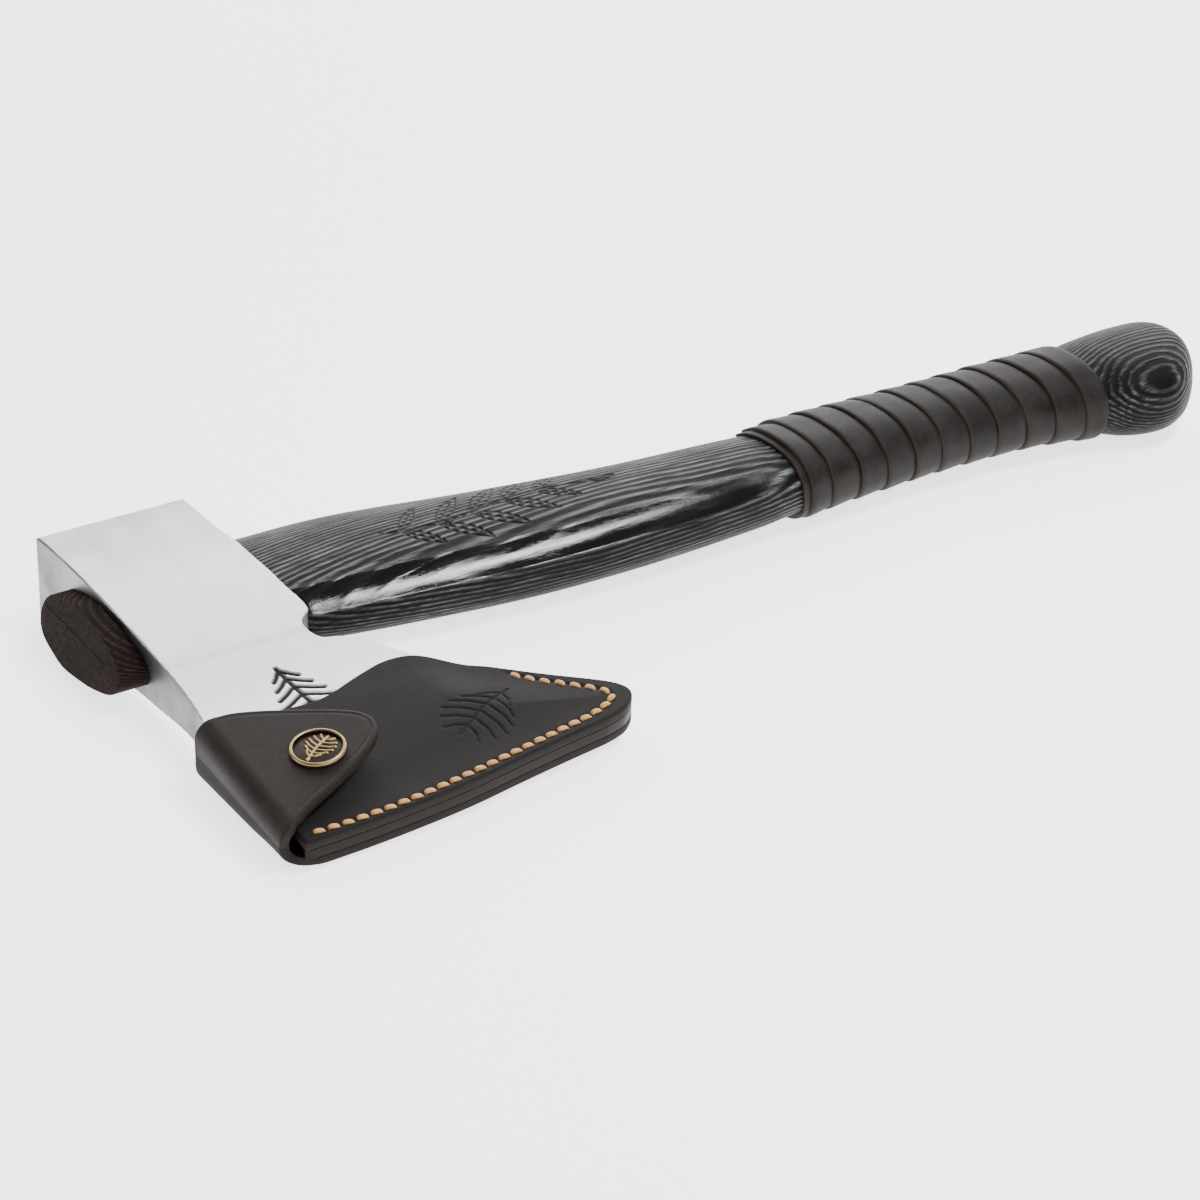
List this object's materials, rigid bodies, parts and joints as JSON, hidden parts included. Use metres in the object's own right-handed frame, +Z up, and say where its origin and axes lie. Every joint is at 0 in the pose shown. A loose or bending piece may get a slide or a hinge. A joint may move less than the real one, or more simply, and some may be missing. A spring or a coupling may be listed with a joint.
{
  "type": "hatchet",
  "caption": "Small forged hatchet with a straight wedge head, a stained wooden haft, a spiral leather grip and a stitched leather blade sheath closed by a snap strap.",
  "frame": {"origin": "centre of the hatchet's bounding box, on the surface that it lies on", "axes": "+X along the haft from the head to the knob, -Y towards the cutting edge, +Z up, with the hatchet lying on its side"},
  "size_m": [0.386, 0.1606, 0.0296],
  "materials": {
    "steel": "satin",
    "stained_wood": "brushed grain, glossy varnish",
    "brown_wood": "sawn",
    "grip_leather": "waxed",
    "sheath_leather": "semi-matte",
    "welt_leather": "burnished edge",
    "thread": "waxed thread",
    "antique_brass": "antique",
    "spring_steel": "bright"
  },
  "bodies": {
    "axe": {"axe_head": "steel", "haft": "stained_wood", "kerf_wedge": "brown_wood", "grip_wrap": "grip_leather", "sheath_front": "sheath_leather", "sheath_back": "sheath_leather", "sheath_welt": "welt_leather", "sheath_thread": "thread", "snap_stud": "antique_brass", "snap_eyelet": "antique_brass"},
    "strap_wall": {"strap_wall": "sheath_leather"},
    "strap_flap": {"strap_flap": "sheath_leather", "snap_cap": "antique_brass", "snap_socket": "antique_brass", "snap_spring": "spring_steel"}
  },
  "joints": [
    {"name": "strap_lower_fold", "type": "hinge", "parent": "axe", "child": "strap_wall", "pos_m": [-0.19018, -0.04961, 0.00053], "axis": [-0.045, -0.9989, 0.011], "range_deg": [0, 85]},
    {"name": "strap_upper_fold", "type": "hinge", "parent": "strap_wall", "child": "strap_flap", "pos_m": [-0.19038, -0.05046, 0.01619], "axis": [-0.0433, -0.9918, -0.1204], "range_deg": [0, 80]}
  ]
}
